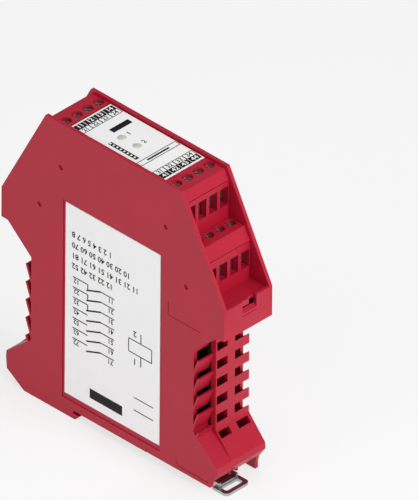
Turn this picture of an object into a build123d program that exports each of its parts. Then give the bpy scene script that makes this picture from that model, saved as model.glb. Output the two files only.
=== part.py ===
from build123d import *
import os

# Safety relay for a 35 mm rail. +X runs along the length of the case, +Y across
# its width, +Z away from the rail. The origin is the middle of the rail seat.

# Case outline
width = 22.5
feet_drop = 3.1
head_top = 111.5
head_half = 31.4
shoulder_half = 51.4
step_half = 48.4
waist_half = 41.0
cover_waist_half = 37.5
waist_bottom = 17.7
cover_waist_bottom = 18.6
foot_half = 48.6
foot_flare = 0.2
foot_top = 9.1
foot_edge = 6.7
heel_run = 0.6
heel_top = 2.6
toe_run = 8.2
toe_top = 2.1
wall = 1.35
end_wall = 2.3
seam_y = -4.3
seat = 0.1
past = 1.0

# Heights of the tiers, measured down from the rim
plate_below_rim = 1.1
upper_deep = 18.2
lower_deep = 19.8
lip_high = 0.7
lip_deep = 11.9
lip_slope = 0.1
step_fall = 6.6
cover_step_fall = 9.6
upper_top = head_top - plate_below_rim
upper_floor = upper_top - upper_deep
lower_floor = upper_floor - lower_deep
shoulder_top = lower_floor + lip_high
shoulder_bottom = shoulder_top - lip_deep
waist_top = shoulder_bottom - step_fall
cover_waist_top = shoulder_bottom - cover_step_fall

# Hollow of the case
hollow_low = 4.6
hollow_seat = 2.0
hollow_ledge = 4.0
hollow_corner = 1.0
foot_wall = 3.5
lip_wall = 1.6
step_wall = 1.4

# Rail hook and latch
rail_half = 17.5
lip_thick = 1.0
lip_play = 0.25
hook_drop = 0.1
hook_reach = 2.5
hook_slope = 0.6
relief = 0.15
seat_ends = (-14.8, 16.0)
latch_foot_end = 45.4
latch_travel = 4.5
latch_sheet = 1.0
latch_y = -2.6
latch_body_w = 9.0
tongue_reach = 1.2
flange_start = 4.6
flange_slope = 2.4
flange_gap = 0.2
loop_w = 11.0
loop_out = 4.6
loop_strap = 1.6
loop_drop = 0.8
loop_root = 2.0
stem_x = 33.0
stem_len = 5.0
stem_w = 2.4
stem_head_w = 5.0
stem_head_h = 0.6
clear = 0.3

# Foot end beside the latch
recess_start = 43.0
rib_r = 0.65
rib_x = 44.0
rib_spots = (-0.9, 2.4)
skirt_start = 24.0
skirt_low = 2.5

# Notch in the lip
notch_y = (-2.7, 3.9)
notch_deep = 4.8
ledge_rise = 1.5
notch_in = 0.5
tab_w = 3.3
tab_high = 2.2
tab_skin = 0.8
score_drop = 0.9
score = 0.3

# Terminal tiers
pitch = 5.08
poles = 4
plate_half = 22.4
upper_front = 32.5
lower_front = 42.3
tier_gap = 0.2
sill_up = (4.9, 5.0)
opening_high = (7.3, 6.7)
chamfer_run = (1.9, 2.5)
chamfer_fall = 1.9
groove = 0.35
screw_from_front = 7.0
opening_w = 3.7

# Clamp, from the wire sill upwards
chamber_w = 3.8
cage_w = 3.3
cage_back = 2.2
cage_front = 4.2
cage_wall = 0.5
cage_floor = 0.8
cage_top = 1.0
cage_gap = 4.2
bar_thick = 0.8
bar_w = 2.0
bar_tail = 4.0
lift = 2.8
shank_r = 1.0
shank_gap = 0.2
tap_r = 1.35
tap_sides = 12
head_r = 1.75
head_hole_r = 1.95
head_h = 1.8
head_recess = 1.1
slot_w = 0.6
slot_d = 0.9
slot_len = 3.0

# Vents
vent_first = 13.6
vent_pitch = 7.15
vent_high = 3.3
vent_a = (-3.8, 1.2)
vent_b = 4.6
vent_fall = 0.87
vent_run_out = 0.5
vent_foot_out = 4.0
vent_rows = int((waist_top - vent_first) / vent_pitch) + 1
slat_first = 19.3
slat_thick = 0.85
slat_high = 6.8
slat_out = 2.6
slat_run = 2.5
slat_rows = int((cover_waist_top - slat_first) / vent_pitch) + 1
cover_strip = 1.6
cover_frame = 1.5

# Front plate, foils and lamps
plate_thick = 1.5
foil = 0.2
top_foil_half = 21.65
top_foil_w = 18.6
side_foil = (43.7, 76.0)
side_foil_z = 5.5
recess = 0.3
recess_left = 1.1
recess_low = 2.2
recess_edge = 0.4
lamp_r = 1.4
lamp_play = 0.1
lamp_sunk = 2.0
lamp_spots = ((-5.5, -1.8), (1.4, -1.6))

# Marks moulded in the near face: blind holes below the rim, then thin lines
dimple_r = 0.95
dimple_deep = 0.6
dimple_spots = ((24.2, 17.5), (33.8, 36.8))
line_w = 0.3
line_deep = 0.2
line_corner = (25.7, 59.7)
line_up = 5.3
line_along = 15.0
foot_line = ((29.5, 3.8), (30.4, 1.7), (44.8, 1.7))

# Inside
board_thick = 1.6
board_y = 6.0
board_half = 27.0
board_low = 8.0
board_below_plate = 22.4
board_high = upper_top - board_below_plate
relay_first = 11.0
relay_gap = 5.0
relay_size = (29.0, 12.5)
cap_r = 4.0
cap_len = 11.5
cap_drop = 11.0
cap_gap = 2.0
cap_z = board_high - cap_drop
relay_count = 3
relay_pitch = (cap_z - cap_r - cap_gap - relay_first) / relay_count
pad = 5.0

half_w = width / 2
inner_w = half_w - wall
lower_back = upper_front + tier_gap
upper_sill = upper_floor + sill_up[0]
lower_sill = lower_floor + sill_up[1]
plate_low = -lip_thick - hook_drop - latch_sheet
ends = ((-1, "l"), (1, "r"))


def outline(points):
    """A face in the XZ plane from its corner points."""
    return Plane.XZ * make_face(Polyline(*[(x, z) for x, z in points], close=True))


def slab(points, y0, y1):
    """The outline drawn out from y0 to y1."""
    return extrude(outline(points).moved(Location((0, y1, 0))), amount=y1 - y0, dir=(0, -1, 0))


def box(x0, x1, y0, y1, z0, z1):
    """A box between six planes."""
    return Pos((x0 + x1) / 2, (y0 + y1) / 2, (z0 + z1) / 2) * Box(abs(x1 - x0), y1 - y0, z1 - z0)


def upright(radius, x, y, z0, z1):
    """A round bar along Z."""
    return Pos(x, y, (z0 + z1) / 2) * Cylinder(radius, z1 - z0)


def prism(radius, x, y, z0, z1):
    """A twelve-sided bar along Z, for hidden holes and shanks."""
    return extrude(Pos(x, y, z0) * RegularPolygon(radius, tap_sides), z1 - z0)


def side_points(waist, top, bottom):
    """The right half of the case's outline, from the rim down to the foot."""
    return [
        (head_half, head_top),
        (shoulder_half, shoulder_top),
        (shoulder_half, shoulder_bottom + lip_slope),
        (step_half, shoulder_bottom),
        (waist, top),
        (waist, bottom),
        (foot_half, foot_top),
        (foot_half + foot_flare, foot_edge),
    ]


def case_outline(waist, top, bottom):
    """The whole outline with the rail hook on the left and the latch side on the right."""
    right = side_points(waist, top, bottom)
    left = [(-x, z) for x, z in reversed(right)]
    catch = -rail_half - lip_play
    seat_left, seat_right = seat_ends
    foot_right = [
        (latch_foot_end + heel_run, heel_top),
        (latch_foot_end, relief),
        (seat_right, relief),
        (seat_right, 0),
    ]
    hook = [
        (seat_left, 0),
        (seat_left, relief),
        (catch, relief),
        (catch, -lip_thick - hook_drop),
        (-rail_half + hook_reach, -lip_thick - hook_drop),
        (-rail_half + hook_slope, -feet_drop),
        (-foot_half + toe_run, -feet_drop),
        (-foot_half + foot_flare, toe_top),
    ]
    return right + foot_right + hook + left


def inner_points():
    """The right half of the hollow, inside the stepped walls."""
    return [
        (plate_half - wall, upper_top - plate_thick),
        (plate_half - wall, upper_floor - wall),
        (lower_back - wall, upper_floor - wall),
        (lower_back - wall, lower_floor - wall),
        (shoulder_half - wall, lower_floor - wall),
        (shoulder_half - wall, shoulder_bottom + lip_wall),
        (step_half - wall / 2, shoulder_bottom + step_wall),
    ]


def hollow(y0, y1, waist, top, bottom, inset):
    """The space inside the case between y0 and y1."""
    right = inner_points() + [
        (waist - inset, top + hollow_corner),
        (waist - inset, bottom - hollow_corner),
        (foot_half - foot_wall, foot_top - hollow_corner / 2),
        (foot_half - foot_wall, hollow_low),
    ]
    left = [(-x, z) for x, z in reversed(right)]
    ledge = rail_half + hollow_ledge
    floor = [(ledge, hollow_low), (ledge, hollow_seat), (-ledge, hollow_seat), (-ledge, hollow_low)]
    return slab(right + floor + left, y0, y1)


def pockets(side):
    """The stepped room for the terminal blocks between the cheeks at one end."""
    far = shoulder_half + past
    upper = box(side * plate_half, side * far, -inner_w, inner_w, upper_floor, head_top + past)
    lower = box(side * lower_back, side * (shoulder_half - wall), -inner_w, inner_w,
                lower_floor, upper_floor + past)
    lip = box(side * (shoulder_half - wall - past), side * far, -inner_w, inner_w, shoulder_top, upper_floor + past)
    return upper + lower + lip


def notched(body, side):
    """Cuts the lip's window over a sloping ledge, with a tab in it and a thin score below."""
    y0, y1 = notch_y
    inner = shoulder_half - wall - notch_in
    low = shoulder_top - notch_deep
    window = [
        (side * inner, shoulder_top + past),
        (side * (shoulder_half + past), shoulder_top + past),
        (side * (shoulder_half + past), low),
        (side * shoulder_half, low),
        (side * inner, low + ledge_rise),
    ]
    body -= slab(window, y0, y1)
    body += box(side * (shoulder_half - tab_skin - recess), side * (shoulder_half - recess), y0 - seat, y0 + tab_w,
                shoulder_top - tab_high, shoulder_top)
    body -= box(side * (shoulder_half - score), side * (shoulder_half + past), y0, y1,
                low - score_drop - score, low - score_drop)
    return body


def tail_slots(side, y0, y1):
    """Slots through the pocket walls for the tails of the contact bars."""
    cuts = []
    for back, sill in ((plate_half, upper_sill), (lower_back, lower_sill)):
        for pole in range(poles):
            y = pole_y(pole)
            if y - bar_w / 2 > y0 and y + bar_w / 2 < y1:
                low = sill + cage_gap - clear / 2
                cuts.append(box(side * (back - wall - past), side * (back + past), y - bar_w / 2 - clear / 2,
                                y + bar_w / 2 + clear / 2, low, low + bar_thick + clear))
    return cuts


def pole_y(pole):
    """Where a pole's middle lies across the width."""
    return (pole - (poles - 1) / 2) * pitch


def louvre(side, y0, y1, low, out):
    """One vent slot, falling inward through the end wall from `out` beyond its face."""
    x_face = waist_half + vent_run_out
    x_out = waist_half + out
    x_in = waist_half - end_wall - vent_run_out
    rise = (x_out - x_face) * vent_fall
    drop = (x_face - x_in) * vent_fall
    points = [
        (side * x_out, low + rise),
        (side * x_out, low + vent_high + rise),
        (side * x_in, low + vent_high - drop),
        (side * x_in, low - drop),
    ]
    return slab(points, y0, y1)


def foot_recess(y0, y1):
    """The recess in the foot's end above the pull loop."""
    return box(recess_start, foot_half, y0, y1, -past, heel_top)


def housing_part():
    """The main shell: far cheek, end walls with their louvres, pockets and rail hook."""
    points = case_outline(waist_half, waist_top, waist_bottom)
    body = slab(points, seam_y, half_w)
    body -= hollow(seam_y - past, inner_w, waist_half, waist_top, waist_bottom, end_wall)
    body -= box(-plate_half, plate_half, -inner_w, inner_w, upper_top - plate_thick, head_top + past)
    body -= foot_recess(seam_y - past, inner_w)
    for side, _ in ends:
        body -= pockets(side)
        body = notched(body, side)
        for cut in tail_slots(side, seam_y, half_w):
            body -= cut
        for row in range(vent_rows):
            low = vent_first + row * vent_pitch
            out = vent_foot_out if row == 0 else vent_run_out
            beyond = inner_w if row == 0 else half_w + past
            body -= louvre(side, vent_a[0], vent_a[1], low, out)
            body -= louvre(side, vent_b, beyond, low, out)
    body += guide_stem()
    for y in rib_spots:
        body += upright(rib_r, rib_x, y, relief, heel_top + seat)
    body += box(skirt_start, latch_foot_end, inner_w, half_w, -skirt_low, heel_top - past)
    for x in (-board_half + pad, board_half - pad):
        for z in (board_low + pad, board_high - pad):
            body += box(x - pad / 2, x + pad / 2, board_y + board_thick, inner_w, z - pad / 2, z + pad / 2)
    return body


def moulded_marks():
    """Blind holes and thin lines cut in the near face of the cover."""
    cuts = []
    low = -half_w - past
    for side, _ in ends:
        for x, below in dimple_spots:
            hole = Cylinder(dimple_r, dimple_deep + past)
            cuts.append(Pos(side * x, low + (dimple_deep + past) / 2, head_top - below) * Rot(90, 0, 0) * hole)
    x, z = line_corner
    deep = -half_w + line_deep
    cuts.append(box(x - line_w / 2, x + line_w / 2, low, deep, z, z + line_up))
    cuts.append(box(x - line_w / 2, x + line_along, low, deep, z - line_w / 2, z + line_w / 2))
    (x0, z0), (x1, z1), (x2, z2) = foot_line
    cuts.append(slab([(x0, z0), (x1, z1), (x2, z2), (x2, z2 + line_w), (x1 + line_w, z1 + line_w), (x0 + line_w, z0)],
                     low, deep))
    return cuts


def cover_part():
    """The near shell, with its narrower waist and its steep slats."""
    points = case_outline(cover_waist_half, cover_waist_top, cover_waist_bottom)
    body = slab(points, -half_w, seam_y)
    body -= hollow(-inner_w, seam_y + past, cover_waist_half, cover_waist_top, cover_waist_bottom, wall)
    body -= box(-plate_half, plate_half, -inner_w, inner_w, upper_top - plate_thick, head_top + past)
    body -= foot_recess(-inner_w, seam_y + past)
    strip = -half_w + cover_strip
    for side, _ in ends:
        body -= pockets(side)
        for cut in tail_slots(side, -half_w, seam_y):
            body -= cut
        body -= box(side * (cover_waist_half - wall - past), side * (cover_waist_half + past), strip, seam_y + past,
                    cover_waist_bottom + cover_frame, cover_waist_top - cover_frame)
        for row in range(slat_rows):
            body += slat(side, slat_first + row * vent_pitch)
    body -= box(-side_foil[0] / 2 - recess_left, side_foil[0] / 2 + recess_edge, -half_w - past, -half_w + recess,
                side_foil_z - recess_low, side_foil_z + side_foil[1] + recess_edge)
    for cut in moulded_marks():
        body -= cut
    return body


def slat(side, top):
    """One steep slat, standing out from the near wall and ending at the seam."""
    x_out = cover_waist_half + slat_out
    x_in = x_out - slat_run
    points = [
        (side * x_out, top),
        (side * (x_out - slat_thick), top),
        (side * (x_in - slat_thick), top - slat_high),
        (side * x_in, top - slat_high),
    ]
    return slab(points, -half_w, seam_y)


def guide_stem():
    """The T-shaped stem in the foot that the slide's slot runs on."""
    head_up = plate_low - clear
    x0 = stem_x - stem_len / 2
    x1 = stem_x + stem_len / 2
    stem = box(x0, x1, latch_y - stem_w / 2, latch_y + stem_w / 2, head_up - stem_head_h, relief + seat)
    head = box(x0, x1, latch_y - stem_head_w / 2, latch_y + stem_head_w / 2, head_up - stem_head_h, head_up)
    return stem + head


def block(side, back, front, floor, top, sill, opening, run):
    """A terminal block with four clamp chambers, screw holes and wire openings."""
    edge = inner_w - seat
    shoulder = top - run * chamfer_fall
    points = [
        (side * back, floor),
        (side * front, floor),
        (side * front, shoulder),
        (side * (front - run), top),
        (side * back, top),
    ]
    body = slab(points, -edge, edge)
    x_screw = front - screw_from_front
    bar_low = sill + cage_gap
    roof = top - head_recess - head_h - clear
    raised = sill + cage_gap + bar_thick + clear + cage_top + lift + clear
    body -= box(side * (front - groove), side * (front + past), -edge - past, edge + past, shoulder - groove, shoulder)
    for pole in range(poles):
        y = pole_y(pole)
        body -= box(side * (x_screw - cage_back - clear), side * (x_screw + cage_front + clear),
                    y - chamber_w / 2, y + chamber_w / 2, sill - cage_floor - clear, raised)
        body -= box(side * x_screw, side * (front + past), y - opening_w / 2, y + opening_w / 2,
                    sill, sill + opening)
        body -= box(side * (back - past), side * x_screw, y - bar_w / 2 - clear / 2, y + bar_w / 2 + clear / 2,
                    bar_low - clear / 2, bar_low + bar_thick + clear / 2)
        body -= upright(head_hole_r, side * x_screw, y, roof, top + past)
        body -= prism(tap_r, side * x_screw, y, raised - clear, roof + clear)
    return body


def screw(x, y, sill, top):
    """A terminal screw: recessed cross-slotted head and shank standing on the contact bar."""
    head_up = top - head_recess
    head_low = head_up - head_h
    tip = sill + cage_gap + bar_thick + shank_gap
    body = upright(head_r, x, y, head_low, head_up)
    body += prism(shank_r, x, y, tip, head_low)
    for turn in (45, -45):
        arm = Box(slot_len, slot_w, 2 * slot_d)
        body -= Pos(x, y, head_up) * Rot(0, 0, turn) * arm
    return body


def cage(side, x, y, sill):
    """A clamp cage: a square ring that the wire enters along X, tapped at the top."""
    low = sill - cage_floor
    inner_top = sill + cage_gap + bar_thick + clear
    high = inner_top + cage_top
    back = side * (x - cage_back)
    front = side * (x + cage_front)
    through = side * (x + cage_front + past)
    body = box(back, front, y - cage_w / 2, y + cage_w / 2, low, high)
    body -= box(side * (x - cage_back - past), through, y - cage_w / 2 + cage_wall, y + cage_w / 2 - cage_wall,
                sill, inner_top)
    body -= prism(tap_r, side * x, y, inner_top - clear, high + clear)
    return body


def contact_bars(side, back, front, sill):
    """The four fixed contact bars of one block."""
    x_screw = front - screw_from_front
    low = sill + cage_gap
    bars = None
    for pole in range(poles):
        y = pole_y(pole)
        bar = box(side * (back - bar_tail), side * (x_screw + cage_front - seat), y - bar_w / 2, y + bar_w / 2,
                  low, low + bar_thick)
        bars = bar if bars is None else bars + bar
    return bars


def latch_part():
    """The metal slide with its tongue under the rail lip, side flanges and pull loop."""
    y0 = latch_y - latch_body_w / 2
    y1 = latch_y + latch_body_w / 2
    low = -feet_drop
    start = rail_half - tongue_reach
    end = latch_foot_end
    body = box(start, end, y0, y1, plate_low, plate_low + latch_sheet)
    for y in (y0, y1 - latch_sheet):
        flange = [
            (start + flange_start, plate_low + latch_sheet),
            (start + flange_start + flange_slope, low),
            (end, low),
            (end, -flange_gap),
            (start + flange_start, -flange_gap),
        ]
        body += slab(flange, y, y + latch_sheet)
    loop_low = plate_low - loop_drop
    ring = box(end - loop_root, end + loop_out, latch_y - loop_w / 2, latch_y + loop_w / 2,
               loop_low, loop_low + latch_sheet)
    ring = fillet(ring.edges().filter_by(Axis.Z).group_by(Axis.X)[-1], loop_strap)
    hole = box(end + clear, end + loop_out - loop_strap, latch_y - loop_w / 2 + loop_strap,
               latch_y + loop_w / 2 - loop_strap, loop_low - past, loop_low + latch_sheet + past)
    hole = fillet(hole.edges().filter_by(Axis.Z), loop_strap / 2)
    body += ring
    body -= hole
    slot_x0 = stem_x - stem_len / 2 - latch_travel - clear
    slot_x1 = stem_x + stem_len / 2 + clear
    body -= box(slot_x0, slot_x1, latch_y - stem_w / 2 - clear, latch_y + stem_w / 2 + clear, plate_low - past,
                plate_low + latch_sheet + past)
    return body


def write(name, shape):
    """One file for each node."""
    export_step(shape, f"parts/{name}.step")


os.makedirs("parts", exist_ok=True)

write("housing", housing_part())
write("side_cover", cover_part())

plate = box(-plate_half + seat, plate_half - seat, -inner_w + seat, inner_w - seat, upper_top - plate_thick, upper_top)
for x, y in lamp_spots:
    plate -= upright(lamp_r + lamp_play, x, y, upper_top - plate_thick - past, upper_top + past)
write("front_plate", plate)

top_foil = box(-top_foil_half, top_foil_half, -top_foil_w / 2, top_foil_w / 2, upper_top, upper_top + foil)
for x, y in lamp_spots:
    top_foil -= upright(lamp_r + lamp_play, x, y, upper_top - past, upper_top + past)
write("top_label", top_foil)
for number, (x, y) in enumerate(lamp_spots, start=1):
    write(f"led_lens_{number}", upright(lamp_r, x, y, upper_top - plate_thick - lamp_sunk, upper_top + foil))

write("side_label", box(-side_foil[0] / 2, side_foil[0] / 2, -half_w + recess - foil, -half_w + recess, side_foil_z,
                        side_foil_z + side_foil[1]))

tiers = (
    ("upper", plate_half, upper_front, upper_floor, upper_top, upper_sill, opening_high[0], chamfer_run[0]),
    ("lower", lower_back, lower_front, lower_floor, upper_floor - seat, lower_sill, opening_high[1], chamfer_run[1]),
)
for side, end in ends:
    for tier, back, front, floor, top, sill, opening, run in tiers:
        write(f"block_{tier}_{end}", block(side, back, front, floor, top, sill, opening, run))
        write(f"bars_{tier}_{end}", contact_bars(side, back, front, sill))
        x = front - screw_from_front
        for pole in range(poles):
            y = pole_y(pole)
            write(f"screw_{tier}_{end}_{pole + 1}", screw(side * x, y, sill, top))
            write(f"cage_{tier}_{end}_{pole + 1}", cage(side, x, y, sill))

write("rail_latch", latch_part())

write("main_board", box(-board_half, board_half, board_y, board_y + board_thick, board_low, board_high))
for number in range(relay_count):
    low = relay_first + number * relay_pitch
    write(f"relay_{number + 1}", box(-relay_size[0] / 2, relay_size[0] / 2, board_y - relay_size[1], board_y,
                                     low, low + relay_pitch - relay_gap))
write("capacitor", Pos(0, board_y - cap_len / 2, cap_z) * Rot(90, 0, 0) * Cylinder(cap_r, cap_len))
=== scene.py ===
"""Safety relay on a pale floor: finishes, printed foils, small case details, light and camera."""
import math

import bpy
from bpy.props import FloatProperty, FloatVectorProperty, PointerProperty
from mathutils import Matrix, Vector


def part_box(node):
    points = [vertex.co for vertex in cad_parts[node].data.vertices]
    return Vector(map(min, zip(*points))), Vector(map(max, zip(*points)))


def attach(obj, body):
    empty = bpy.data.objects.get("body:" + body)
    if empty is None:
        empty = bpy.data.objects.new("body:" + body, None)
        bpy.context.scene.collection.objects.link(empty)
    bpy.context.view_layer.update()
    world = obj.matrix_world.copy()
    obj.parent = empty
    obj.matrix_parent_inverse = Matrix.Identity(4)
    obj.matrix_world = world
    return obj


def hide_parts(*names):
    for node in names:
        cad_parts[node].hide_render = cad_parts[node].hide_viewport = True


bl_info = {
    "name": "Safety relay",
    "version": (1, 0, 0),
    "blender": (4, 5, 0),
    "location": "View3D > Sidebar > Relay",
    "description": "Dresses a rail-mounted safety relay with its finishes, foils and studio",
    "category": "Object",
}

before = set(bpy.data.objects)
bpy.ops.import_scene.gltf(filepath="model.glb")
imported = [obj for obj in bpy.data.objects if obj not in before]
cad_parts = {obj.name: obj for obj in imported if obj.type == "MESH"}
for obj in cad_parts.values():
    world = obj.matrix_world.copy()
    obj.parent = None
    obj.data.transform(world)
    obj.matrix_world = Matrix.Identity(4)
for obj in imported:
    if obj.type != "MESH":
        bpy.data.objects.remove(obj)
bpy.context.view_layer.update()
MM = 0.001
FEET = -3.1  # height of the floor, mm: the foot of the rail slide stands on it

# A print face's columns are the way text runs, the way its top points and the way out of the case.
TOP_FACE = Matrix(((0, -1, 0), (1, 0, 0), (0, 0, 1)))
SIDE_FACE = Matrix(((-1, 0, 0), (0, 0, -1), (0, -1, 0)))

# Moulded edges: those steeper than this many degrees are rounded, and shading stays sharp past the second.
EDGE_ANGLE = 28
SHARP_ANGLE = 50
WELD = 0.002  # corners nearer than this are one, mm
DOME_RISE = 0.3  # height of a lamp's dome, mm
DOME_STEPS = 8

# Surface patterns, in waves per metre: soft patches of the plastic (about 17 mm) and foil (11 mm), the foil's
# orange-peel (1.4 mm), cloudy patches of the zinc (2.5 mm), and the ink's thin spots (0.7 mm) and grain.
PLASTIC_PATCHES = 60
FOIL_PATCHES = 90
FOIL_PEEL = 700
ZINC_PATCHES = 400
INK_PATCHES = 1500
INK_GRAIN = 6000

# Widths of strokes and heights of numbers, mm. BOLD thickens a number by a share of its height.
LINE = 0.28
FRAME = 0.3
THIN = 0.4
LEAD = 0.42
STEM = 0.45
ARM = 0.6
BAR = 0.8
BOLD = 0.022
FIELD_NUMBER = 2.7
CELL_NUMBER = 2.5
LAMP_NUMBER = 2.6
DIAGRAM_NUMBER = 2.6
COIL_NUMBER = 3.2
ROW_NUMBER = 3.1

# Front foil, mm from its middle: (first number in the dark cells, in the framed cells) for each end, and the
# plain fields, whose places across are shares of half the foil's width.
CELLS = 4
CELL_ENDS = ((1, 10, 20), (-1, 40, 30))
CELL_DEEP = 2.6
CELL_EDGE = 0.65
CELL_MARGIN = 0.25
FIELD_INSET = 0.1
FRAME_INSET = 0.08
LAMP_NUMBER_ASIDE = 3.4
LAMP_NUMBER_UP = 0.1
PLAIN_FIELD = ((-0.18, 9.2), (0.76, 11.6))
STRIP = ((-0.83, -6.9), (-0.65, 6.2))
STRIP_WINDOWS = 8
STRIP_STEP = 1.6
STRIP_WINDOW = ((-0.79, -5.9), (-0.70, -5.2))
BOX_INSET = 0.3
BOX_ALONG = (-10.7, -8.4)
BOX_BAR = (0.55, -9.55)

# Side foil, mm on the case: X along it and Z up it. Each row is a contact with a fixed lead, a moving lead
# and an arm, and the first rows are closed by a stem.
ROW_TOP = 53.4
ROW_STEP = 4.06
ROWS = 7
CLOSED_ROWS = 3
FIXED_LEAD = (-18.4, -11.5)
MOVING_LEAD = (0.8, -5.6)
ARM_ENDS = (-5.5, -12.1)
ARM_FALL = 2.5
STEM_ENDS = (0.1, -2.6)
FIXED_NUMBER = -16.7
MOVING_NUMBER = -0.9
NUMBER_FALL = 1.3
COIL = ((18.1, 36.4), (7.5, 41.6))
COIL_STEM = 13.1
COIL_STEM_ENDS = ((41.6, 45.4), (36.4, 32.4))
COIL_NUMBERS = (("2", 44.4), ("1", 33.4))
COIL_NUMBER_X = 10.3
NUMBER_ROWS = ((70.3, "1 2 3 4 5 6 7 8"), (66.1, "10 20 30 40 50 60 70"), (61.9, "11 21 31 41 51 61 71 81"),
               (57.8, "12 22 32 42 52"))
NUMBER_ROW_X = -18.9
SIDE_FIELD = ((4.7, 8.9), (-10.3, 12.7))
BLANKS = (19.0, 14.0)
BLANK_ENDS = (19.0, 10.0)

# Studio: lamps as name, place and size in metres and power in watts, and the camera, which looks parallel.
LAMPS = (
    ("key", (0.75, -0.05, 0.45), 0.5, 4.95),
    ("fill", (-0.1, -0.8, 0.3), 0.7, 2.2),
    ("top", (0.0, 0.1, 0.8), 0.6, 1.6),
)
LAMP_AIM = (0, 0, 0.05)
WORLD_LIGHT = 0.3
FLOOR_SIZE = 6
FLOOR_GLOW = 0.7  # share of plain white that the camera and reflections see in the floor
CAMERA_RIGHT = (0.7117, 0.7028, 0.0056)
CAMERA_UP = (-0.4036, 0.4020, 0.8220)
CAMERA_TARGET = (33.19, 0.0, 83.75)  # mm
CAMERA_AWAY = 0.8
PICTURE_HIGH = 500  # pixels
PIXELS_PER_MM = 3.045


def srgb(code):
    """A hex colour as linear red, green, blue and alpha."""
    parts = [int(code[i:i + 2], 16) / 255 for i in (1, 3, 5)]
    return tuple(c / 12.92 if c <= 0.04045 else ((c + 0.055) / 1.055) ** 2.4 for c in parts) + (1.0,)


def colour(name, description, code):
    """A colour setting with its default."""
    return FloatVectorProperty(name=name, description=description, subtype="COLOR", size=4, min=0, max=1,
                               default=srgb(code))


class RelayFinish(bpy.types.PropertyGroup):
    case: colour("Case red", "Moulded case, cover and terminal blocks", "#B01430")
    foil: colour("Foil", "Printed foils on the front and the side", "#FAFAFA")
    ink: colour("Ink", "Print on the foils", "#08080A")
    lens: colour("Lens", "Lamp lenses", "#C9CDBB")
    steel: colour("Zinc steel", "Rail slide, screws and clamps", "#B9BFBE")
    tin: colour("Tinned copper", "Contact bars", "#C9BFA4")
    board: colour("Board", "Circuit board", "#143A22")
    relay: colour("Relay cover", "Covers of the switching relays", "#2A2A2E")
    floor: colour("Floor", "Studio floor", "#F6F6F6")


class RelaySizes(bpy.types.PropertyGroup):
    edge: FloatProperty(name="Edge round", description="Rounding of moulded edges", default=0.22 * MM,
                        min=0.0, max=MM, unit="LENGTH")
    print_height: FloatProperty(name="Print height", description="How far the print stands off its foil",
                                default=0.02 * MM, min=0.0, max=0.1 * MM, unit="LENGTH")
    grain: FloatProperty(name="Case grain", description="Grain size of the moulded surface",
                         default=0.35 * MM, min=0.05 * MM, max=2 * MM, unit="LENGTH")


def finish():
    return bpy.context.scene.relay_finish


def sizes():
    return bpy.context.scene.relay_sizes


def node(tree, kind, links=None, **settings):
    """Adds a node, sets its inputs and attributes, and links the inputs that are given as sockets."""
    made = tree.nodes.new(kind)
    for key, value in settings.items():
        if key in made.inputs:
            made.inputs[key].default_value = value
        else:
            setattr(made, key, value)
    for key, socket in (links or {}).items():
        tree.links.new(socket, made.inputs[key])
    return made


def new_material(name):
    """An empty material with its output node."""
    made = bpy.data.materials.new(name)
    made.use_nodes = True
    made.node_tree.nodes.clear()
    return made, made.node_tree


def close(tree, shader):
    output = node(tree, "ShaderNodeOutputMaterial")
    tree.links.new(shader.outputs[0], output.inputs["Surface"])


def varied(tree, base, spread, scale, coords):
    """The base colour, a little lighter and darker in soft patches."""
    noise = node(tree, "ShaderNodeTexNoise", {"Vector": coords.outputs["Object"]}, Scale=scale, Detail=3.0)
    ramp = node(tree, "ShaderNodeValToRGB", {"Fac": noise.outputs["Fac"]})
    low, high = ramp.color_ramp.elements
    low.position, high.position = 0.3, 0.7
    low.color = tuple(c * (1 - spread) for c in base[:3]) + (1,)
    high.color = tuple(min(1, c * (1 + spread)) for c in base[:3]) + (1,)
    return ramp


def moulded_plastic(name, base, roughness=0.42, grain=None, depth=0.02):
    """Glass-filled moulding from a spark-eroded tool: a fine even grain that softens the shine."""
    made, tree = new_material(name)
    coords = node(tree, "ShaderNodeTexCoord")
    tone = varied(tree, base, 0.035, PLASTIC_PATCHES, coords)
    size = grain or sizes().grain
    noise = node(tree, "ShaderNodeTexNoise", {"Vector": coords.outputs["Object"]}, Scale=1 / size, Detail=2.0)
    bump = node(tree, "ShaderNodeBump", {"Height": noise.outputs["Fac"]}, Strength=0.12, Distance=depth * MM)
    shader = node(tree, "ShaderNodeBsdfPrincipled",
                  {"Base Color": tone.outputs["Color"], "Normal": bump.outputs["Normal"]},
                  **{"Specular IOR Level": 0.35}, Roughness=roughness, IOR=1.49)
    close(tree, shader)
    return made


def printed_foil(name, base):
    """Matt polyester foil: flat, with a faint orange-peel from the adhesive below."""
    made, tree = new_material(name)
    coords = node(tree, "ShaderNodeTexCoord")
    tone = varied(tree, base, 0.012, FOIL_PATCHES, coords)
    noise = node(tree, "ShaderNodeTexNoise", {"Vector": coords.outputs["Object"]},
                 Scale=FOIL_PEEL, Detail=2.0)
    bump = node(tree, "ShaderNodeBump", {"Height": noise.outputs["Fac"]}, Strength=0.05, Distance=0.02 * MM)
    shader = node(tree, "ShaderNodeBsdfPrincipled",
                  {"Base Color": tone.outputs["Color"], "Normal": bump.outputs["Normal"]},
                  Roughness=0.5, IOR=1.5)
    close(tree, shader)
    return made


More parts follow.
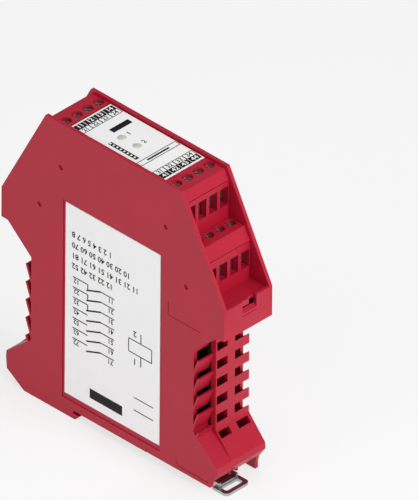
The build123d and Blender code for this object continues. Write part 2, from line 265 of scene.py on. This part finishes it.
def plated_steel(name, base, roughness=0.34, scratch=2500):
    """Zinc-plated pressed steel: a metal with fine rolling lines and cloudy patches in its shine."""
    made, tree = new_material(name)
    coords = node(tree, "ShaderNodeTexCoord")
    tone = varied(tree, base, 0.08, ZINC_PATCHES, coords)
    lines = node(tree, "ShaderNodeMapping", {"Vector": coords.outputs["Object"]}, Scale=(0.15, 1.0, 1.0))
    noise = node(tree, "ShaderNodeTexNoise", {"Vector": lines.outputs["Vector"]}, Scale=scratch, Detail=3.0)
    bump = node(tree, "ShaderNodeBump", {"Height": noise.outputs["Fac"]}, Strength=0.15, Distance=0.01 * MM)
    shader = node(tree, "ShaderNodeBsdfPrincipled",
                  {"Base Color": tone.outputs["Color"], "Normal": bump.outputs["Normal"]},
                  Roughness=roughness, Metallic=1.0)
    close(tree, shader)
    return made


def deselect():
    """Leaves nothing selected, in object mode."""
    if bpy.context.object and bpy.context.object.mode != "OBJECT":
        bpy.ops.object.mode_set(mode="OBJECT")
    bpy.ops.object.select_all(action="DESELECT")


def activate(obj):
    deselect()
    obj.select_set(True)
    bpy.context.view_layer.objects.active = obj


def settle(obj):
    """Puts the object's place into its mesh."""
    activate(obj)
    bpy.ops.object.transform_apply(location=True, rotation=True, scale=True)


def paint(obj, material):
    """Gives an object one material."""
    obj.data.materials.clear()
    obj.data.materials.append(material)


def coat(obj, material, body="case"):
    """Gives a finished piece its material and its body."""
    paint(obj, material)
    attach(obj, body)


def rounded_copy(name, edge):
    """The node's own shape as a clean mesh with rounded edges."""
    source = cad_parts[name]
    copy = source.copy()
    copy.data = source.data.copy()
    copy.parent = None
    copy.name = name + "_moulded"
    bpy.context.collection.objects.link(copy)
    copy.matrix_world = source.matrix_world.copy()
    settle(copy)
    bpy.ops.object.mode_set(mode="EDIT")
    bpy.ops.mesh.select_all(action="SELECT")
    bpy.ops.mesh.remove_doubles(threshold=WELD * MM)
    bpy.ops.object.mode_set(mode="OBJECT")
    bevel = copy.modifiers.new("Round", "BEVEL")
    bevel.width = edge
    bevel.segments = 2
    bevel.limit_method = "ANGLE"
    bevel.angle_limit = math.radians(EDGE_ANGLE)
    bevel.use_clamp_overlap = True
    bevel.harden_normals = False
    bpy.ops.object.modifier_apply(modifier="Round")
    bpy.ops.object.shade_smooth_by_angle(angle=math.radians(SHARP_ANGLE))
    weigh = copy.modifiers.new("Weigh", "WEIGHTED_NORMAL")
    weigh.keep_sharp = True
    bpy.ops.object.modifier_apply(modifier="Weigh")
    return copy


def screen_ink(name, base):
    """Screen-printed ink: nearly matt, a little uneven where the mesh of the screen left it thin."""
    made, tree = new_material(name)
    coords = node(tree, "ShaderNodeTexCoord")
    tone = varied(tree, base, 0.12, INK_PATCHES, coords)
    noise = node(tree, "ShaderNodeTexNoise", {"Vector": coords.outputs["Object"]},
                 Scale=INK_GRAIN, Detail=1.0)
    bump = node(tree, "ShaderNodeBump", {"Height": noise.outputs["Fac"]}, Strength=0.08, Distance=0.01 * MM)
    shader = node(tree, "ShaderNodeBsdfPrincipled",
                  {"Base Color": tone.outputs["Color"], "Normal": bump.outputs["Normal"]},
                  Roughness=0.6, IOR=1.35)
    close(tree, shader)
    return made


def turned(name, profile, centre, steps=40):
    """A closed turned piece: (radius, height) points in metres, from the middle below to the middle above."""
    points, faces = [(0, 0, profile[0][1])], []
    for radius, height in profile[1:-1]:
        points += [(radius * math.cos(math.tau * k / steps), radius * math.sin(math.tau * k / steps), height)
                   for k in range(steps)]
    points.append((0, 0, profile[-1][1]))
    rings = len(profile) - 2
    for k in range(steps):
        after = (k + 1) % steps
        faces.append((0, 1 + after, 1 + k))
        for ring in range(rings - 1):
            low, high = 1 + ring * steps, 1 + (ring + 1) * steps
            faces.append((low + k, low + after, high + after, high + k))
        last = 1 + (rings - 1) * steps
        faces.append((last + k, last + after, len(points) - 1))
    mesh = bpy.data.meshes.new(name)
    mesh.from_pydata([(x + centre[0], y + centre[1], z + centre[2]) for x, y, z in points], [], faces)
    obj = bpy.data.objects.new(name, mesh)
    bpy.context.collection.objects.link(obj)
    activate(obj)
    bpy.ops.object.shade_smooth_by_angle(angle=math.radians(40))
    return obj


def strokes(name, lines, fields):
    """Straight strokes (start, end, width) and filled fields (corner, corner) as one flat mesh, in mm."""
    points, faces = [], []
    for (x0, y0), (x1, y1), width in lines:
        length = math.hypot(x1 - x0, y1 - y0)
        dx = (y0 - y1) / length * width / 2
        dy = (x1 - x0) / length * width / 2
        start = len(points)
        points += [(x0 - dx, y0 - dy, 0), (x1 - dx, y1 - dy, 0), (x1 + dx, y1 + dy, 0), (x0 + dx, y0 + dy, 0)]
        faces.append(tuple(range(start, start + 4)))
    for (x0, y0), (x1, y1) in fields:
        start = len(points)
        points += [(x0, y0, 0), (x1, y0, 0), (x1, y1, 0), (x0, y1, 0)]
        faces.append(tuple(range(start, start + 4)))
    mesh = bpy.data.meshes.new(name)
    mesh.from_pydata(points, [], faces)
    obj = bpy.data.objects.new(name, mesh)
    bpy.context.collection.objects.link(obj)
    return obj


def frame_lines(x0, y0, x1, y1, width=LINE):
    """The four strokes of a thin box."""
    corners = ((x0, y0), (x1, y0), (x1, y1), (x0, y1))
    return [(corners[i], corners[(i + 1) % 4], width) for i in range(4)]


def word(text, size, place, align="CENTER"):
    """A plain number in the built-in font as a flat mesh, in mm."""
    deselect()
    bpy.ops.object.text_add(location=(place[0], place[1], 0))
    made = bpy.context.object
    made.data.body = text
    made.data.size = size
    made.data.align_x = align
    made.data.align_y = "CENTER"
    made.data.resolution_u = 2
    made.data.offset = BOLD * size
    bpy.ops.object.convert(target="MESH")
    return bpy.context.object


def printed(base, words, face, centre, lift, material):
    """Joins strokes and numbers, lays them on a face of the case and gives them their ink."""
    name = base.name
    deselect()
    for piece in words:
        piece.select_set(True)
    base.select_set(True)
    bpy.context.view_layer.objects.active = base
    if words:
        bpy.ops.object.join()
    base.name = name
    out = face @ Vector((0, 0, 1))
    base.matrix_world = Matrix.Translation(Vector(centre) + out * lift) @ face.to_4x4() @ Matrix.Scale(MM, 4)
    settle(base)
    coat(base, material)
    return base


class RELAY_OT_case(bpy.types.Operator):
    """Rounds and finishes the two shells and the front plate"""
    bl_idname = "relay.case"
    bl_label = "Case"

    def execute(self, context):
        red = moulded_plastic("case_polyamide_red", finish().case)
        for name in ("housing", "side_cover", "front_plate"):
            piece = rounded_copy(name, sizes().edge)
            coat(piece, red)
            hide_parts(name)
        return {"FINISHED"}


class RELAY_OT_blocks(bpy.types.Operator):
    """Finishes the four terminal blocks, whose moulded edges are sharp"""
    bl_idname = "relay.blocks"
    bl_label = "Terminal blocks"

    def execute(self, context):
        red = bpy.data.materials["case_polyamide_red"]
        for tier in ("upper", "lower"):
            for end in ("l", "r"):
                paint(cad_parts[f"block_{tier}_{end}"], red)
        return {"FINISHED"}


class RELAY_OT_metal(bpy.types.Operator):
    """Finishes screws, clamps, contact bars and the rail slide"""
    bl_idname = "relay.metal"
    bl_label = "Metal pieces"

    def execute(self, context):
        steel = plated_steel("zinc_plated_steel", finish().steel)
        screws = plated_steel("screw_steel_passivated", finish().steel, roughness=0.28, scratch=4000)
        tin = plated_steel("tinned_copper", finish().tin, roughness=0.25, scratch=3000)
        for name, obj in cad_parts.items():
            material = None
            if name.startswith("screw_"):
                material = screws
            elif name.startswith("cage_") or name == "rail_latch":
                material = steel
            elif name.startswith("bars_"):
                material = tin
            if material:
                paint(obj, material)
        return {"FINISHED"}


class RELAY_OT_inside(bpy.types.Operator):
    """Finishes the board, relays and capacitor that show through the vents"""
    bl_idname = "relay.inside"
    bl_label = "Inside"

    def execute(self, context):
        board = moulded_plastic("epoxy_glass_board", finish().board, roughness=0.3, grain=0.6 * MM)
        cover = moulded_plastic("relay_cover_black", finish().relay, roughness=0.35, grain=0.3 * MM)
        can = plated_steel("aluminium_can", finish().steel, roughness=0.3)
        finishes = {"main_board": board, "relay_1": cover, "relay_2": cover, "relay_3": cover,
                    "capacitor": can}
        for name, material in finishes.items():
            paint(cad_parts[name], material)
        return {"FINISHED"}


class RELAY_OT_foils(bpy.types.Operator):
    """Finishes the two foils and the lamp lenses"""
    bl_idname = "relay.foils"
    bl_label = "Foils and lenses"

    def execute(self, context):
        foil = printed_foil("polyester_foil", finish().foil)
        lens = moulded_plastic("lens_frosted", finish().lens, roughness=0.25, grain=0.5 * MM)
        for name in ("top_label", "side_label"):
            paint(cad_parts[name], foil)
        for name in ("led_lens_1", "led_lens_2"):
            low, high = [Vector(corner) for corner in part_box(name)]
            radius = (high.x - low.x) / 2
            centre = ((low.x + high.x) / 2, (low.y + high.y) / 2, high.z)
            profile = [(0, low.z - high.z), (radius, low.z - high.z), (radius, 0)]
            for k in range(1, DOME_STEPS):
                turn = k * math.pi / (2 * DOME_STEPS)
                profile.append((radius * math.cos(turn), DOME_RISE * MM * math.sin(turn)))
            profile.append((0, DOME_RISE * MM))
            dome = turned(name + "_dome", profile, centre)
            coat(dome, lens)
            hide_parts(name)
        return {"FINISHED"}


class RELAY_OT_front_print(bpy.types.Operator):
    """Prints the front foil: numbered terminal cells at both ends, lamp numbers, a plain strip and box"""
    bl_idname = "relay.front_print"
    bl_label = "Front print"

    def execute(self, context):
        low, high = [Vector(corner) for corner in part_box("top_label")]
        half_long = (high.x - low.x) / 2 / MM
        half_wide = (high.y - low.y) / 2 / MM
        centre = ((low.x + high.x) / 2, (low.y + high.y) / 2, high.z)
        cell = (2 * half_wide - 2 * CELL_MARGIN) / CELLS
        lines, fields, words, light = [], [], [], []

        def shared(corners, along=0):
            return tuple((share * half_wide, place + along) for share, place in corners)

        for end, outer, inner in CELL_ENDS:
            edge = end * (half_long - CELL_EDGE)
            middle = edge - end * CELL_DEEP
            last = middle - end * CELL_DEEP
            for place in range(CELLS):
                left = -half_wide + CELL_MARGIN + place * cell
                across = left + cell / 2
                fields.append(((left + FIELD_INSET, min(edge, middle)),
                               (left + cell - FIELD_INSET, max(edge, middle))))
                lines += frame_lines(left + FRAME_INSET, min(middle, last),
                                     left + cell - FRAME_INSET, max(middle, last))
                light.append(word(str(outer + place + 1), FIELD_NUMBER, (across, (edge + middle) / 2)))
                words.append(word(str(inner + place + 1), CELL_NUMBER, (across, (middle + last) / 2)))
        for number, lamp in enumerate(("led_lens_1", "led_lens_2"), start=1):
            lamp_low, lamp_high = [Vector(corner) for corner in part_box(lamp)]
            across = (lamp_low.y + lamp_high.y) / 2 / MM + LAMP_NUMBER_ASIDE
            along = -(lamp_low.x + lamp_high.x) / 2 / MM + LAMP_NUMBER_UP
            words.append(word(str(number), LAMP_NUMBER, (across, along)))
        fields.append(shared(PLAIN_FIELD))
        fields.append(shared(STRIP))
        light_fields = [shared(STRIP_WINDOW, STRIP_STEP * k) for k in range(STRIP_WINDOWS)]
        box_wide = half_wide - BOX_INSET
        lines += frame_lines(-box_wide, BOX_ALONG[0], box_wide, BOX_ALONG[1], FRAME)
        bar_half, bar_along = BOX_BAR[0] * half_wide, BOX_BAR[1]
        lines.append(((-bar_half, bar_along), (bar_half, bar_along), BAR))
        gap = sizes().print_height
        black = screen_ink("print_ink_black", finish().ink)
        white = screen_ink("print_ink_white", finish().foil)
        printed(strokes("print_front", lines, fields), words, TOP_FACE, centre, gap, black)
        printed(strokes("print_front_light", [], light_fields), light, TOP_FACE, centre, 2 * gap, white)
        return {"FINISHED"}


class RELAY_OT_side_print(bpy.types.Operator):
    """Prints the side foil: rows of plain numbers, seven contacts, the coil and plain fields"""
    bl_idname = "relay.side_print"
    bl_label = "Side print"

    def execute(self, context):
        low, high = [Vector(corner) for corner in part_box("side_label")]
        centre = ((low.x + high.x) / 2, low.y, (low.z + high.z) / 2)
        mid_x, mid_z = centre[0] / MM, centre[2] / MM

        def at(x, z):
            return (mid_x - x, mid_z - z)

        lines, fields, words = [], [], []
        for row in range(ROWS):
            z = ROW_TOP - row * ROW_STEP
            lines.append((at(FIXED_LEAD[0], z), at(FIXED_LEAD[1], z), LEAD))
            lines.append((at(MOVING_LEAD[0], z), at(MOVING_LEAD[1], z), LEAD))
            lines.append((at(ARM_ENDS[0], z), at(ARM_ENDS[1], z - ARM_FALL), ARM))
            if row < CLOSED_ROWS:
                lines.append((at(FIXED_LEAD[1], z + STEM_ENDS[0]), at(FIXED_LEAD[1], z + STEM_ENDS[1]), STEM))
            words.append(word(f"{row + 1}2", DIAGRAM_NUMBER, at(FIXED_NUMBER, z - NUMBER_FALL)))
            words.append(word(f"{row + 1}1", DIAGRAM_NUMBER, at(MOVING_NUMBER, z - NUMBER_FALL)))
        lines += frame_lines(*at(*COIL[0]), *at(*COIL[1]), THIN)
        for start, stop in COIL_STEM_ENDS:
            lines.append((at(COIL_STEM, start), at(COIL_STEM, stop), STEM))
        for text, z in COIL_NUMBERS:
            words.append(word(text, COIL_NUMBER, at(COIL_NUMBER_X, z)))
        for z, text in NUMBER_ROWS:
            words.append(word(text, ROW_NUMBER, at(NUMBER_ROW_X, z), "RIGHT"))
        fields.append((at(*SIDE_FIELD[0]), at(*SIDE_FIELD[1])))
        for z in BLANKS:
            lines.append((at(BLANK_ENDS[0], z), at(BLANK_ENDS[1], z), THIN))
        printed(strokes("print_side", lines, fields), words, SIDE_FACE, centre, sizes().print_height,
                bpy.data.materials["print_ink_black"])
        return {"FINISHED"}


class RELAY_OT_stage(bpy.types.Operator):
    """Floor, lamps and camera"""
    bl_idname = "relay.stage"
    bl_label = "Stage"

    def execute(self, context):
        deselect()
        bpy.ops.mesh.primitive_plane_add(size=FLOOR_SIZE, location=(0, 0, FEET * MM))
        floor = context.object
        floor.name = "studio_floor"
        settle(floor)
        made, tree = new_material("floor_paper")
        path = node(tree, "ShaderNodeLightPath")
        seen = node(tree, "ShaderNodeMath",
                    {0: path.outputs["Is Camera Ray"], 1: path.outputs["Is Glossy Ray"]}, operation="MAXIMUM")
        share = node(tree, "ShaderNodeMath", {0: seen.outputs[0]}, operation="MULTIPLY")
        share.inputs[1].default_value = FLOOR_GLOW
        paper = node(tree, "ShaderNodeBsdfDiffuse", Color=finish().floor)
        glow = node(tree, "ShaderNodeEmission", Color=(1, 1, 1, 1), Strength=1.0)
        mixed = node(tree, "ShaderNodeMixShader",
                     {0: share.outputs[0], 1: paper.outputs[0], 2: glow.outputs[0]})
        close(tree, mixed)
        floor.data.materials.append(made)

        world = bpy.data.worlds.new("studio")
        context.scene.world = world
        world.use_nodes = True
        background = world.node_tree.nodes["Background"]
        background.inputs["Color"].default_value = (1, 1, 1, 1)
        background.inputs["Strength"].default_value = WORLD_LIGHT
        for name, place, size, power in LAMPS:
            lamp = bpy.data.lights.new(name, "AREA")
            lamp.size = size
            lamp.energy = power
            obj = bpy.data.objects.new(name, lamp)
            context.collection.objects.link(obj)
            obj.location = place
            aim = Vector(LAMP_AIM) - Vector(place)
            obj.rotation_mode = "QUATERNION"
            obj.rotation_quaternion = aim.to_track_quat("-Z", "Y")

        right = Vector(CAMERA_RIGHT).normalized()
        up = Vector(CAMERA_UP)
        up = (up - right * up.dot(right)).normalized()
        back = right.cross(up)
        target = Vector(CAMERA_TARGET) * MM
        data = bpy.data.cameras.new("camera")
        data.type = "ORTHO"
        data.ortho_scale = PICTURE_HIGH / PIXELS_PER_MM * MM
        data.clip_end = 10
        cam = bpy.data.objects.new("camera", data)
        context.collection.objects.link(cam)
        turn = Matrix((right, up, back)).transposed().to_4x4()
        cam.matrix_world = Matrix.Translation(target + back * CAMERA_AWAY) @ turn
        context.scene.camera = cam
        context.scene.view_settings.view_transform = "Standard"
        return {"FINISHED"}


class RELAY_PT_panel(bpy.types.Panel):
    """Lists the relay's sizes, colours and steps"""
    bl_label = "Safety relay"
    bl_idname = "RELAY_PT_panel"
    bl_space_type = "VIEW_3D"
    bl_region_type = "UI"
    bl_category = "Relay"

    def draw(self, context):
        for group in (context.scene.relay_finish, context.scene.relay_sizes):
            for key in group.bl_rna.properties.keys():
                if key not in ("rna_type", "name"):
                    self.layout.prop(group, key)
        for step in STEPS:
            self.layout.operator(step.bl_idname)


STEPS = (RELAY_OT_case, RELAY_OT_blocks, RELAY_OT_metal, RELAY_OT_inside, RELAY_OT_foils,
         RELAY_OT_front_print, RELAY_OT_side_print, RELAY_OT_stage)
CLASSES = (RelayFinish, RelaySizes) + STEPS + (RELAY_PT_panel,)


def register():
    for item in CLASSES:
        bpy.utils.register_class(item)
    bpy.types.Scene.relay_finish = PointerProperty(type=RelayFinish)
    bpy.types.Scene.relay_sizes = PointerProperty(type=RelaySizes)


def unregister():
    del bpy.types.Scene.relay_sizes
    del bpy.types.Scene.relay_finish
    for item in reversed(CLASSES):
        bpy.utils.unregister_class(item)


def main():
    register()
    bpy.ops.relay.case()
    bpy.ops.relay.blocks()
    bpy.ops.relay.metal()
    bpy.ops.relay.inside()
    bpy.ops.relay.foils()
    bpy.ops.relay.front_print()
    bpy.ops.relay.side_print()
    bpy.ops.relay.stage()


if __name__ == "__main__":
    main()
